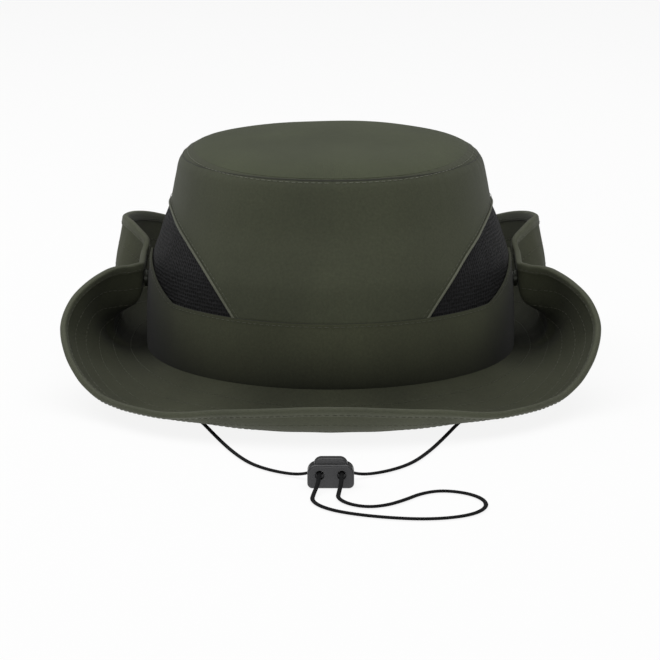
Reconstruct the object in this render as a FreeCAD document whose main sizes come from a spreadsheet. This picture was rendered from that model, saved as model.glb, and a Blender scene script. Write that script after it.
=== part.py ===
"""Boonie hat with snap-up brim sides, a chin cord and a two-hole cord lock (millimetres, +Z up).

The hat stands on a flat surface and its front faces -Y. The chin cord lies on that surface.
"""
import FreeCAD, Part
import math
import os

V = FreeCAD.Vector
doc = FreeCAD.newDocument("BoonieHat")
sheet = doc.addObject("Spreadsheet::Sheet", "Sizes")

SIZES = [
    ("base_height", 13.9),        # height of the seam between crown and brim
    ("base_half_width", 88.5),    # crown outside at that seam, along X
    ("depth_extra", 15.0),        # how much longer the half depth is than the half width
    ("cloth", 0.8),               # one crown panel
    ("band_top", 44.0),
    ("band_lift", 1.4),           # of the band's lower edge above the seam
    ("band_thick", 1.0),
    ("tab_rise", 16.6),           # of the band's upper edge at each side, where the snap is
    ("tab_slope", 0.3),           # fall of that edge for each mm along Y
    ("seam_height", 108.0),       # seam between the crown wall and its tip
    ("tip_rise", 10.0),
    ("vent_foot", 45.0),          # half width of the front panel where it meets the band
    ("vent_slope", 0.829),        # sideways run of the vent's edge for each mm of height
    ("piping_width", 2.2),
    ("sweat_height", 27.5),
    ("ply", 0.55),
    ("ply_gap", 0.1),
    ("interlining", 0.6),
    ("binding_reach", 4.0),
    ("binding_cloth", 0.45),
    ("fold_gap", 0.14),           # between the binding and the plies that it holds
    ("edge_gap", 0.6),            # between the plies' edge and the binding's fold
    ("hinge_out", 115.0),         # the side's bending line, from the middle
    ("hinge_height", 28.0),
    ("side_half_length", 20.0),   # along Y, of the part of the brim that opens
    ("side_cut_height", 30.0),
    ("side_gap", 0.4),
    ("snap_height", 46.2),
    ("snap_radius", 4.2),
    ("snap_disc", 0.6),           # thickness of the stud's disc
    ("snap_knob", 0.9),           # how far the stud's knob stands up
    ("snap_knob_radius", 1.6),
    ("snap_bore_radius", 3.1),    # wide, so that the rigid ring clears the knob as it swings off
    ("snap_pin_radius", 1.3),
    ("snap_ring", 1.0),           # depth of the socket's ring
    ("snap_plate", 0.5),
    ("snap_cap", 1.2),
    ("snap_cap_over", 0.4),       # how much wider the cap is than the socket
    ("snap_cloth", 2.9),          # room for the brim's plies between socket and cap
    ("snap_fit", 0.2),            # room between faces of the snap
    ("anchor_length", 12.0),
    ("anchor_height", 9.0),
    ("anchor_thick", 1.2),
    ("cord_diameter", 1.8),
    ("lock_width", 19.6),
    ("lock_tall", 10.2),
    ("lock_deep", 8.6),
    ("lock_front", -225.0),       # Y of the lock's front face
    ("lock_shoulder", 4.0),       # roundings of its upper, lower and front and back edges
    ("lock_foot", 2.2),
    ("lock_edge", 1.0),
    ("lock_hole_radius", 2.0),
    ("lock_hole_side", 4.6),      # of each hole's centre from the middle
    ("lock_hole_height", 5.8),
    ("lock_fit", 0.2),            # room round the plunger
    ("plunger_width", 14.4),
    ("plunger_deep", 5.2),
    ("plunger_foot", 4.2),        # height of the plunger's lower face at rest
    ("plunger_travel", 1.6),
    ("button_rise", 2.4),
    ("button_shoulder", 3.4),
    ("button_edge", 0.8),
    ("lock_floor", 2.2),
    ("spring_radius", 1.4),
    ("spring_wire", 0.4),
    ("spring_pitch", 0.95),
    ("spring_pocket", 4.0),       # depth of its hole in the plunger
]
for row, (alias, value) in enumerate(SIZES, start=1):
    sheet.set("A%d" % row, alias.replace("_", " "))
    sheet.set("B%d" % row, repr(value))
    sheet.setAlias("B%d" % row, alias)
doc.recompute()
size = {alias: float(sheet.get(alias)) for alias, value in SIZES}

# Crown half widths at heights: the wall leans in, with a soft shoulder below the tip.
CROWN_WALL = [(14.0, 88.5), (44.0, 87.0), (58.0, 86.3), (71.0, 82.4), (84.0, 77.8), (97.0, 75.2),
              (108.0, 72.0)]

# Width of the brim and its slope in degrees at equal steps from seam to edge, by azimuth from the front.
BRIM_SHAPE = [
    (0.0, 60.0, (-57, -34, -5, 18, 38, 52)),
    (18.0, 60.0, (-55, -33, -5, 13, 30, 42)),
    (31.0, 59.0, (-46, -25, -7, 7, 16, 22)),
    (45.0, 58.0, (-46, -29, -11, 7, 22, 32)),
    (65.0, 59.0, (-25, -6, 13, 32, 51, 70)),
    (79.0, 60.0, (-14, 13, 50, 86, 108, 116)),
    (83.0, 60.0, (-13, 13, 66, 123, 112, 104)),
    (86.0, 60.0, (-10, 25, 96, 155, 94, 92)),
    (94.0, 61.5, (-8, 29, 100, 150, 92, 94)),
    (98.0, 63.0, (-5, 38, 97, 130, 108, 86)),
    (102.0, 65.5, (-4, 36, 85, 113, 111, 90)),
    (106.0, 68.0, (-2, 36, 73, 99, 108, 96)),
    (112.0, 69.0, (-2, 34, 64, 86, 102, 99)),
    (120.0, 69.0, (-6, 29, 62, 83, 93, 96)),
    (140.0, 67.0, (-23, 13, 48, 68, 78, 86)),
    (160.0, 62.0, (-54, -32, 4, 36, 56, 68)),
    (180.0, 60.3, (-57, -34, -5, 20, 40, 54)),
]

# The chin cord's route from the left anchor, along the floor, to the back of the lock.
STRAND = [(-85.3, 0.0, 12.4), (-85.2, -1.5, 5.0), (-84.2, -9.0, 1.0), (-82.5, -22.0, 1.0),
          (-78.0, -46.0, 1.0), (-70.0, -76.0, 1.0), (-59.5, -107.0, 1.0), (-49.0, -146.0, 1.0),
          (-41.5, -170.0, 1.0), (-34.0, -188.0, 1.0), (-24.0, -200.0, 1.0), (-13.5, -207.5, 1.4),
          (-6.8, -211.8, 4.2), (-4.6, -217.0, 6.5)]
# The loop that hangs out of the lock's front, from its left hole to its right one.
LOOP = [(-4.6, -226.0, 6.7), (-5.4, -231.5, 3.6), (-7.2, -238.0, 1.0), (-7.8, -247.0, 1.0),
        (-4.5, -256.0, 1.0), (2.0, -263.5, 1.0), (11.0, -269.0, 1.0), (23.0, -273.5, 1.0),
        (37.0, -276.0, 1.0), (50.0, -273.5, 1.0), (59.5, -266.5, 1.0), (64.0, -255.5, 1.0),
        (62.5, -244.0, 1.0), (56.0, -235.0, 1.0), (46.0, -231.2, 1.0), (37.5, -236.0, 1.0),
        (30.0, -247.0, 1.0), (22.5, -255.0, 1.0), (14.5, -257.5, 1.0), (7.0, -252.5, 1.0),
        (2.8, -243.5, 1.0), (3.4, -236.0, 1.4), (4.4, -231.0, 4.2), (4.6, -226.0, 6.7)]

LEFT, RIGHT = -1, 1
SIDE_NAMES = {LEFT: "left", RIGHT: "right"}


# ---------------------------------------------------------------- helpers

def keep(name, shape, place=None):
    """Adds a finished shape to the document as a node."""
    obj = doc.addObject("Part::Feature", name)
    obj.Label = name
    obj.Shape = shape
    if place is not None:
        obj.Placement = place
    return obj


def primitive(kind, name, sizes, base, axis=None, turn=0.0):
    """A Part primitive whose sizes are expressions on the sheet."""
    obj = doc.addObject(kind, name)
    for prop, expression in sizes.items():
        obj.setExpression(prop, expression)
    rotation = FreeCAD.Rotation(axis, turn) if axis else FreeCAD.Rotation()
    obj.Placement = FreeCAD.Placement(base, rotation)
    return obj


def boolean(kind, name, base, tool):
    obj = doc.addObject(kind, name)
    obj.Base = base
    obj.Tool = tool
    return obj


def spline_value(xs, ys, x, level_ends=False):
    """Cubic curve through points, with slopes that don't overshoot."""
    last = len(xs) - 1
    i = max(k for k in range(last) if x >= xs[k] or k == 0)
    rises = [(ys[k + 1] - ys[k]) / (xs[k + 1] - xs[k]) for k in range(last)]

    def slope(k):
        if k in (0, last):
            return 0.0 if level_ends else rises[min(k, last - 1)]
        before, after = rises[k - 1], rises[k]
        return 0.0 if before * after <= 0 else 2.0 * before * after / (before + after)

    span = xs[i + 1] - xs[i]
    t = (x - xs[i]) / span
    return ((2 * t**3 - 3 * t**2 + 1) * ys[i] + (t**3 - 2 * t**2 + t) * span * slope(i)
            + (-2 * t**3 + 3 * t**2) * ys[i + 1] + (t**3 - t**2) * span * slope(i + 1))


# ---------------------------------------------------------------- crown

def wall_half_width(height):
    """Half width of the crown's outside at a height, straight between the given heights."""
    for (low, wide), (high, narrow) in zip(CROWN_WALL, CROWN_WALL[1:]):
        if height <= high:
            return wide + (narrow - wide) * (height - low) / (high - low)
    return CROWN_WALL[-1][1]


def stretched(shape):
    """A round shape made oval, longer from front to back."""
    stretch = FreeCAD.Matrix()
    stretch.A22 = (size["base_half_width"] + size["depth_extra"]) / size["base_half_width"]
    return shape.transformGeometry(stretch)


def crown_shell(outside, inside, low, high):
    """A ring of the crown's wall between two offsets and two heights."""
    heights = [low] + [row[0] for row in CROWN_WALL if low < row[0] < high] + [high]
    profile = [V(wall_half_width(height) + outside, 0, height) for height in heights]
    profile += [V(wall_half_width(height) + inside, 0, height) for height in reversed(heights)]
    face = Part.Face(Part.makePolygon(profile + profile[:1]))
    return stretched(face.revolve(V(0, 0, 0), V(0, 0, 1), 360))


def half_space(side_y):
    return Part.makeBox(400, 200, 200, V(-200, -200 if side_y < 0 else 0, 0))


def vent_region(side, from_plane=0.0, to_plane=200.0, low=-20.0, high=200.0):
    """Prism on the outer side of a vent's sloping edge plane."""
    def edge_x(height):
        return size["vent_foot"] + size["vent_slope"] * (height - size["band_top"])
    corners = [V(side * (edge_x(low) + from_plane), -200, low),
               V(side * (edge_x(high) + from_plane), -200, high),
               V(side * (edge_x(high) + to_plane), -200, high),
               V(side * (edge_x(low) + to_plane), -200, low)]
    face = Part.Face(Part.makePolygon(corners + corners[:1]))
    return face.extrude(V(0, 400, 0))


def snap_hole():
    """The pin's way through the brim, on both sides."""
    radius = size["snap_pin_radius"] + 0.2
    return Part.makeCylinder(radius, 300, V(-150, 0, size["snap_height"]), V(1, 0, 0))


def build_crown():
    seam, base, cloth = size["seam_height"], size["base_height"], size["cloth"]
    vent_low = size["band_top"] - 3.0
    wall = crown_shell(0.0, -cloth, base, seam - 0.2)
    above = Part.makeBox(400, 400, 200, V(-200, -200, vent_low))
    notches = {side: vent_region(side).common(above) for side in (LEFT, RIGHT)}
    vents = {side: wall.common(notch).cut(snap_hole()) for side, notch in notches.items()}
    cloth_wall = wall.cut(notches[LEFT]).cut(notches[RIGHT])
    keep("front_panel", cloth_wall.common(half_space(-1)))
    keep("back_panel", cloth_wall.common(half_space(1)))
    proud = crown_shell(0.85, 0.05, size["band_top"] + 0.5, seam - 1.0)
    for side in (LEFT, RIGHT):
        keep("mesh_vent_" + SIDE_NAMES[side], vents[side])
        strip = vent_region(side, -size["piping_width"], 0.0)
        keep("vent_piping_" + SIDE_NAMES[side], proud.common(strip))
    tab_top, half_tab = size["band_top"] + size["tab_rise"], size["tab_rise"] / size["tab_slope"]
    band = crown_shell(size["band_thick"], 0.05, base + size["band_lift"], tab_top)
    for way in (-1, 1):
        corners = [V(-200, 0, tab_top), V(-200, way * half_tab, size["band_top"]),
                   V(-200, way * 200, size["band_top"]), V(-200, way * 200, 200), V(-200, 0, 200)]
        band = band.cut(Part.Face(Part.makePolygon(corners + corners[:1])).extrude(V(400, 0, 0)))
    keep("crown_band", band.cut(snap_hole()))
    keep("sweatband", crown_shell(-cloth - 0.1, -cloth - 1.2, base + 1.0, base + size["sweat_height"]))
    keep("tip_seam_tape", crown_shell(-cloth - 0.05, -cloth - 0.4, seam - 9.0, seam - 0.5))
    label = crown_shell(-cloth - 1.25, -cloth - 1.6, base + 8.0, base + 24.0)
    keep("size_label", label.common(Part.makeBox(28, 40, 200, V(-14, 80, 0))))


def build_tip():
    """A shallow dome, its rim level with the wall seam."""
    half_width, seam, rise = CROWN_WALL[-1][1], size["seam_height"], size["tip_rise"]
    radius = (half_width**2 + rise**2) / (2 * rise)
    centre = V(0, 0, seam + rise - radius)
    ball = Part.makeSphere(radius, centre).cut(Part.makeSphere(radius - size["cloth"], centre))
    column = Part.makeCylinder(half_width, 60, V(0, 0, seam))
    keep("crown_tip", stretched(ball.common(column)))


# ---------------------------------------------------------------- brim

STEPS = 64      # steps of the slope's sum from seam to edge
ROWS = 16       # rows of points across the brim
AZIMUTHS = [0, 6, 12, 18, 24, 31, 38, 45, 52, 59, 65, 71, 75, 79, 81, 83, 84.5, 86, 88, 90, 92, 94, 96, 98,
            100, 102, 104, 106, 109, 112, 116, 120, 126, 133, 140, 150, 160, 170, 175, 180]


def slope_at(azimuth, fraction):
    angles = [row[0] for row in BRIM_SHAPE]
    knots = len(BRIM_SHAPE[0][2])
    values = [spline_value(angles, [row[2][k] for row in BRIM_SHAPE], azimuth, True)
              for k in range(knots)]
    return math.radians(spline_value([k / (knots - 1.0) for k in range(knots)], values, fraction))


def brim_profile(azimuth):
    """Points of the brim's middle surface on the left side, from the seam to one step past the edge."""
    turn = math.radians(azimuth)
    half_width = size["base_half_width"]
    half_depth = half_width + size["depth_extra"]
    start = V(-half_width * math.sin(turn), -half_depth * math.cos(turn), size["base_height"])
    out = V(start.x / half_width**2, start.y / half_depth**2, 0).normalize()
    width = spline_value([row[0] for row in BRIM_SHAPE], [row[1] for row in BRIM_SHAPE], azimuth, True)
    step = width / STEPS
    points = [start]
    for k in range(STEPS + 1):
        slope = slope_at(azimuth, min((k + 0.5) / STEPS, 1.0))
        points.append(points[-1] + out * (math.cos(slope) * step) + V(0, 0, math.sin(slope) * step))
    return points


def brim_grid(offset, first, last):
    """Rows of points on the brim, moved by an offset towards the upper side of the cloth."""
    grid = []
    middle = [brim_profile(azimuth) for azimuth in AZIMUTHS]
    end = len(AZIMUTHS) - 1
    for number, points in enumerate(middle):
        row = []
        for k in range(ROWS):
            step = first + (last - first) * k / (ROWS - 1.0)
            i = min(int(step), STEPS)
            along = points[i + 1] - points[max(i - 1, 0)]
            round_way = middle[min(number + 1, end)][i] - middle[max(number - 1, 0)][i]
            if number in (0, end):
                round_way = V(-1 if number == 0 else 1, 0, 0)
            normal = round_way.cross(along).normalize()
            row.append(points[i] + (points[i + 1] - points[i]) * (step - i) + normal * offset)
        grid.append(row)
    return grid


def middle_of(edge):
    return edge.valueAt(edge.getParameterByLength(edge.Length / 2))


def brim_layer(low, high, first=0.5, last=STEPS):
    """A whole layer of the brim, between two offsets from its middle surface."""
    faces = []
    for offset in (low, high):
        surface = Part.BSplineSurface()
        surface.interpolate(brim_grid(offset, first, last))
        faces.append(surface.toShape())
    for one in faces[0].Edges:
        near = min(faces[1].Edges, key=lambda edge: middle_of(edge).distanceToPoint(middle_of(one)))
        faces.append(Part.makeRuledSurface(one, near))
    shell = Part.makeShell(faces)
    shell.sewShape()
    half = Part.makeSolid(shell)
    if half.Volume < 0:
        half.reverse()
    return half.fuse(half.mirror(V(0, 0, 0), V(1, 0, 0)))


def side_block(side, room):
    """The space of a brim side that opens, grown by some room."""
    long = size["side_half_length"] + room
    low = size["side_cut_height"] - room
    corner = V(-150 if side < 0 else 80, -long, low)
    return Part.makeBox(70, 2 * long, 60, corner)


def build_brim():
    ply, half = size["ply"], size["interlining"] / 2
    inner = half + size["ply_gap"]
    outer = inner + ply
    fold = outer + size["fold_gap"]
    hem = fold + size["binding_cloth"]
    turned = STEPS - size["binding_reach"]
    binding = brim_layer(-hem, hem, turned, STEPS + 0.7)
    core = brim_layer(-fold, fold, turned - 1.0, STEPS + 0.1)
    hems = binding.cut(core)
    edge = STEPS - size["edge_gap"]
    layers = [("top_ply", brim_layer(inner, outer, last=edge)),
              ("interlining", brim_layer(-half, half, last=edge)),
              ("under_ply", brim_layer(-outer, -inner, last=edge)), ("binding", hems)]
    holes = snap_hole()
    for name, layer in layers:
        fixed = layer
        for side in (LEFT, RIGHT):
            fixed = fixed.cut(side_block(side, size["side_gap"]))
            piece = layer.common(side_block(side, 0.0)).cut(holes)
            if name == "under_ply":
                piece = max(piece.cut(hems).Solids, key=lambda solid: solid.Volume)
            keep("%s_side_%s" % (SIDE_NAMES[side], name), piece)
        if name == "binding":
            keep("binding_front", fixed.common(half_space(-1)))
            keep("binding_back", fixed.common(half_space(1)))
        else:
            keep("brim_" + name, fixed)


# ---------------------------------------------------------------- snaps

def snap_faces():
    """Distances from the middle of the faces along a snap's axis."""
    wall = wall_half_width(size["snap_height"])
    disc = wall + size["band_thick"] + size["snap_fit"]
    knob = disc + size["snap_disc"]
    ring = knob + size["snap_fit"]
    plate = ring + size["snap_ring"]
    cloth = plate + size["snap_plate"]
    return {"washer": wall - size["cloth"] - size["snap_fit"], "disc": disc, "knob": knob, "ring": ring,
            "plate": plate, "cloth": cloth, "cap": cloth + size["snap_cloth"]}


def snap_disc(name, side, start, radius, thick):
    """A flat round of a snap, from a distance outwards."""
    base = V(side * start, 0, size["snap_height"])
    return primitive("Part::Cylinder", name, {"Radius": radius, "Height": thick}, base, V(0, 1, 0),
                     90 * side)


def build_snap(side):
    name, at = SIDE_NAMES[side], snap_faces()
    disc = snap_disc("stud_disc_" + name, side, at["disc"], "Sizes.snap_radius - 1", "Sizes.snap_disc")
    knob = snap_disc("stud_knob_" + name, side, at["knob"], "Sizes.snap_knob_radius", "Sizes.snap_knob")
    stud = boolean("Part::Fuse", "snap_stud_" + name, disc, knob)
    washer = snap_disc("post_washer_" + name, side, at["washer"] - size["snap_disc"],
                       "Sizes.snap_radius - 1", "Sizes.snap_disc")
    pin = snap_disc("post_pin_" + name, side, at["washer"], "Sizes.snap_pin_radius",
                    "Sizes.cloth + Sizes.band_thick + 2 * Sizes.snap_fit")
    post = boolean("Part::Fuse", "snap_post_" + name, washer, pin)
    ring = snap_disc("socket_ring_" + name, side, at["ring"], "Sizes.snap_radius",
                     "Sizes.snap_ring + Sizes.snap_plate")
    bore = snap_disc("socket_bore_" + name, side, at["ring"], "Sizes.snap_bore_radius",
                     "Sizes.snap_ring")
    socket = boolean("Part::Cut", "snap_socket_" + name, ring, bore)
    head = snap_disc("cap_head_" + name, side, at["cap"], "Sizes.snap_radius + Sizes.snap_cap_over",
                     "Sizes.snap_cap")
    shank = snap_disc("cap_shank_" + name, side, at["cloth"], "Sizes.snap_pin_radius",
                      "Sizes.snap_cloth")
    cap = boolean("Part::Fuse", "snap_cap_" + name, head, shank)
    return [stud, post, socket, cap]


# ---------------------------------------------------------------- chin cord and its lock

def cord_tube(route):
    """A round tube along straight runs joined by tangent arcs."""
    edges, start, radii = [], V(*route[0]), []
    for before, corner, after in zip(route, route[1:], route[2:]):
        before, corner, after = V(*before), V(*corner), V(*after)
        back, on = before - corner, after - corner
        run = 0.45 * min(back.Length, on.Length)
        half_turn = (math.pi - back.getAngle(on)) / 2
        radii.append(run / math.tan(half_turn))
        back.normalize()
        on.normalize()
        enter, leave = corner + back * run, corner + on * run
        inward = (back + on).normalize()
        middle = corner + inward * (radii[-1] / math.cos(half_turn) - radii[-1])
        edges.append(Part.LineSegment(start, enter).toShape())
        edges.append(Part.Arc(enter, middle, leave).toShape())
        start = leave
    edges.append(Part.LineSegment(start, V(*route[-1])).toShape())
    path = Part.Wire(edges)
    radius = size["cord_diameter"] / 2
    circle = Part.Wire(Part.makeCircle(radius, V(*route[0]), V(*route[1]) - V(*route[0])))
    tube = path.makePipeShell([circle], True, True)
    print("cord length %.1f, volume ratio %.4f, radii" % (
        path.Length, tube.Volume / (path.Length * math.pi * radius**2)), [round(r, 1) for r in radii])
    return tube


def build_cord():
    mirrored = [(-x, y, z) for x, y, z in reversed(STRAND)]
    keep("chin_cord", cord_tube(STRAND + LOOP + mirrored))
    top = STRAND[0][2]
    for side in (LEFT, RIGHT):
        inner = abs(STRAND[0][0]) - size["anchor_thick"] / 2
        corner = V(side * inner - (size["anchor_thick"] if side < 0 else 0), -size["anchor_length"] / 2, top)
        primitive("Part::Box", "cord_anchor_" + SIDE_NAMES[side],
                  {"Length": "Sizes.anchor_thick", "Width": "Sizes.anchor_length",
                   "Height": "Sizes.anchor_height"}, corner)


def lock_block(name, width, deep, low, tall):
    """A block of the lock, centred on X and between its front and back."""
    middle = size["lock_front"] + size["lock_deep"] / 2
    block = primitive("Part::Box", name, {"Length": width, "Width": deep, "Height": tall}, V(0, 0, low))
    doc.recompute()
    block.Placement.Base = V(-block.Length.Value / 2, middle - block.Width.Value / 2, low)
    return block


def lock_bore(name, x, height):
    """A cord hole from front to back."""
    base = V(x, size["lock_front"] + size["lock_deep"] + 5, height)
    return primitive("Part::Cylinder", name, {"Radius": "Sizes.lock_hole_radius", "Height": "20"}, base,
                     V(1, 0, 0), 90)


def rounded(name, block, radius, chosen):
    """Fillets the edges of a block that the test picks."""
    doc.recompute()
    fillet = doc.addObject("Part::Fillet", name)
    fillet.Base = block
    fillet.Edges = [(number, radius, radius) for number, edge in enumerate(block.Shape.Edges, start=1)
                    if chosen(edge)]
    doc.recompute()
    return fillet


def lengthwise(edge, low, high):
    """An edge from front to back, within two heights."""
    box = edge.BoundBox
    return abs(edge.tangentAt(edge.FirstParameter).y) > 0.99 and box.ZMin > low and box.ZMax < high


def across(edge, low):
    """An edge of the front or back face that reaches above a height."""
    box = edge.BoundBox
    return box.YLength < 0.05 and box.ZMax > low


def build_lock():
    side, height, fit = size["lock_hole_side"], size["lock_hole_height"], size["lock_fit"]
    block = lock_block("lock_block", "Sizes.lock_width", "Sizes.lock_deep", 0.0, "Sizes.lock_tall")
    top = size["lock_tall"]
    lid = top + size["button_rise"]
    shell = rounded("lock_shoulders", block, size["lock_shoulder"], lambda e: lengthwise(e, top - 1, top + 1))
    shell = rounded("lock_feet", shell, size["lock_foot"], lambda e: lengthwise(e, -1, 1))
    shell = rounded("lock_edges", shell, size["lock_edge"], lambda e: across(e, -1))
    cavity = lock_block("lock_cavity", "Sizes.plunger_width + 2 * Sizes.lock_fit",
                        "Sizes.plunger_deep + 2 * Sizes.lock_fit", size["lock_floor"], "Sizes.lock_tall")
    body = boolean("Part::Cut", "lock_hollow", shell, cavity)
    body = boolean("Part::Cut", "lock_left_hole", body, lock_bore("lock_bore_left", -side, height))
    body = boolean("Part::Cut", "lock_body", body, lock_bore("lock_bore_right", side, height))
    foot, travel = size["plunger_foot"], size["plunger_travel"]
    stem = lock_block("plunger_block", "Sizes.plunger_width", "Sizes.plunger_deep", foot,
                      "Sizes.lock_tall + Sizes.button_rise - Sizes.plunger_foot")
    stem = rounded("button_shoulders", stem, size["button_shoulder"], lambda e: lengthwise(e, lid - 1, lid + 1))
    stem = rounded("button_edges", stem, size["button_edge"], lambda e: across(e, foot + 1))
    stem = boolean("Part::Cut", "plunger_left_hole", stem,
                   lock_bore("plunger_bore_left", -side, height + travel))
    stem = boolean("Part::Cut", "plunger_right_hole", stem,
                   lock_bore("plunger_bore_right", side, height + travel))
    middle = size["lock_front"] + size["lock_deep"] / 2
    pocket = primitive("Part::Cylinder", "spring_pocket",
                       {"Radius": "Sizes.spring_radius + Sizes.spring_wire", "Height": "Sizes.spring_pocket"},
                       V(0, middle, foot))
    plunger = boolean("Part::Cut", "lock_plunger", stem, pocket)
    wire = size["spring_wire"] / 2
    tall = foot + size["spring_pocket"] - travel - size["lock_floor"] - 4 * wire
    helix = Part.makeHelix(size["spring_pitch"], tall, size["spring_radius"])
    circle = Part.Wire(Part.makeCircle(wire, V(size["spring_radius"], 0, 0), V(0, 1, 0)))
    coil = Part.Wire(helix.Edges).makePipeShell([circle], True, True)
    keep("lock_spring", coil, FreeCAD.Placement(V(0, middle, size["lock_floor"] + 1.5 * wire),
                                                FreeCAD.Rotation()))
    return [body, plunger]


# ---------------------------------------------------------------- build and write

build_crown()
build_tip()
build_brim()
bound = build_snap(LEFT) + build_snap(RIGHT)
build_cord()
bound += build_lock()
doc.recompute()

inputs = set()
for obj in doc.Objects:
    inputs.update(child.Name for child in obj.OutList)
pieces = [obj for obj in doc.Objects if obj.isDerivedFrom("Part::Feature") and obj.Name not in inputs]
os.makedirs("parts", exist_ok=True)
for obj in doc.Objects:
    if "Invalid" in obj.State or "Error" in obj.State:
        raise RuntimeError("%s: %s" % (obj.Name, obj.State))
for obj in pieces:
    if obj.Shape.isNull() or not obj.Shape.isValid():
        raise RuntimeError("%s has no valid shape" % obj.Name)
for obj in pieces:
    obj.Shape.exportStep("parts/%s.step" % obj.Name)
    box = obj.Shape.optimalBoundingBox()
    print("%-24s %d solids %10.1f mm3  x %.2f %.2f  y %.2f %.2f  z %.2f %.2f" % (
        obj.Name, len(obj.Shape.Solids), obj.Shape.Volume, box.XMin, box.XMax, box.YMin, box.YMax,
        box.ZMin, box.ZMax))
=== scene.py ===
"""Looks of the boonie hat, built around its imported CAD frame. Metres, +Z up, the front faces -Y."""
import math

import bmesh
import bpy
import numpy as np
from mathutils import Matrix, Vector, noise


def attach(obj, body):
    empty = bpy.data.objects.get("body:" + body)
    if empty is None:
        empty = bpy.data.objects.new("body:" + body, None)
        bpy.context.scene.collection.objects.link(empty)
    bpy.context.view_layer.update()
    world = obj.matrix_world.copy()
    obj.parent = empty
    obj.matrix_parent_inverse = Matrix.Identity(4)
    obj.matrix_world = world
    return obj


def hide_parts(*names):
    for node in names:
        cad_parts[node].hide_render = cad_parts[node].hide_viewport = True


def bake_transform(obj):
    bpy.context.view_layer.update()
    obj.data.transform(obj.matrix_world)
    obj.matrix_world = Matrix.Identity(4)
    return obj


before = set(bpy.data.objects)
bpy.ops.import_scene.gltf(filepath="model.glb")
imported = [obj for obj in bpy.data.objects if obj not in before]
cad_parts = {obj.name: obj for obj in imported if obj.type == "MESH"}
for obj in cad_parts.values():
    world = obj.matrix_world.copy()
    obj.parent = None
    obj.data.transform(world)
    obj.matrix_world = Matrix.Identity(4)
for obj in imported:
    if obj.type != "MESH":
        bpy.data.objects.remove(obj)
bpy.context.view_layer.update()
MM = 0.001

# ------------------------------------------------------------------ driving dimensions, in millimetres

CROWN_WALL = [(14.0, 88.5), (44.0, 87.0), (58.0, 86.3), (71.0, 82.4), (84.0, 77.8), (97.0, 75.2),
              (108.0, 72.0)]
SHOULDER = [(104.0, 73.4), (108.0, 70.6), (111.5, 65.8)]
BASE_HEIGHT = 13.9
BASE_HALF_WIDTH = 88.5
BASE_HALF_DEPTH = 103.5
DEPTH_RATIO = BASE_HALF_DEPTH / BASE_HALF_WIDTH
SEAM_HEIGHT = 108.0
SEAM_LIFT = 3.2
TIP_RISE = 9.9
TIP_ROLL = 3.4
BAND_TOP = 44.0
VENT_FOOT = 45.0
VENT_SLOPE = 0.829
VENT_RISE = 42.0
VENT_BOW = 2.2
BRIM_WIDTH = 60.0
BRIM_HALF_THICK = 0.95
EDGE_REACH = 3.6
EDGE_HALF_THICK = 1.45
BRIM_STITCH_ROWS = (9.0, 19.0, 29.0, 39.0, 48.0)
CLOTH = 0.8
MESH_SUNK = 0.35
MESH_THICK = 0.6
BAND_UNDER = 3.0
ROUND_STEPS = 360
SHARP_ANGLE = math.radians(50)

# Width of the brim and its slope in degrees at equal steps from seam to edge, by azimuth from the front.
# The rows from 79 to 140 degrees are the rounded result of a least-squares search. The others were
# chosen one by one. part.py has the same table.
BRIM_SHAPE = [
    (0.0, 60.0, (-57, -34, -5, 18, 38, 52)),
    (18.0, 60.0, (-55, -33, -5, 13, 30, 42)),
    (31.0, 59.0, (-46, -25, -7, 7, 16, 22)),
    (45.0, 58.0, (-46, -29, -11, 7, 22, 32)),
    (65.0, 59.0, (-25, -6, 13, 32, 51, 70)),
    (79.0, 60.0, (-14, 13, 50, 86, 108, 116)),
    (83.0, 60.0, (-13, 13, 66, 123, 112, 104)),
    (86.0, 60.0, (-10, 25, 96, 155, 94, 92)),
    (94.0, 61.5, (-8, 29, 100, 150, 92, 94)),
    (98.0, 63.0, (-5, 38, 97, 130, 108, 86)),
    (102.0, 65.5, (-4, 36, 85, 113, 111, 90)),
    (106.0, 68.0, (-2, 36, 73, 99, 108, 96)),
    (112.0, 69.0, (-2, 34, 64, 86, 102, 99)),
    (120.0, 69.0, (-6, 29, 62, 83, 93, 96)),
    (140.0, 67.0, (-23, 13, 48, 68, 78, 86)),
    (160.0, 62.0, (-54, -32, 4, 36, 56, 68)),
    (180.0, 60.3, (-57, -34, -5, 20, 40, 54)),
]

# The chin cord's route, as in the CAD part.
STRAND = [(-85.3, 0.0, 12.4), (-85.2, -1.5, 5.0), (-84.2, -9.0, 1.0), (-82.5, -22.0, 1.0),
          (-78.0, -46.0, 1.0), (-70.0, -76.0, 1.0), (-59.5, -107.0, 1.0), (-49.0, -146.0, 1.0),
          (-41.5, -170.0, 1.0), (-34.0, -188.0, 1.0), (-24.0, -200.0, 1.0), (-13.5, -207.5, 1.4),
          (-6.8, -211.8, 4.2), (-4.6, -217.0, 6.5)]
LOOP = [(-4.6, -226.0, 6.7), (-5.4, -231.5, 3.6), (-7.2, -238.0, 1.0), (-7.8, -247.0, 1.0),
        (-4.5, -256.0, 1.0), (2.0, -263.5, 1.0), (11.0, -269.0, 1.0), (23.0, -273.5, 1.0),
        (37.0, -276.0, 1.0), (50.0, -273.5, 1.0), (59.5, -266.5, 1.0), (64.0, -255.5, 1.0),
        (62.5, -244.0, 1.0), (56.0, -235.0, 1.0), (46.0, -231.2, 1.0), (37.5, -236.0, 1.0),
        (30.0, -247.0, 1.0), (22.5, -255.0, 1.0), (14.5, -257.5, 1.0), (7.0, -252.5, 1.0),
        (2.8, -243.5, 1.0), (3.4, -236.0, 1.4), (4.4, -231.0, 4.2), (4.6, -226.0, 6.7)]
CORD_WIDTH = 1.8


# ------------------------------------------------------------------ mesh helpers

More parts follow.
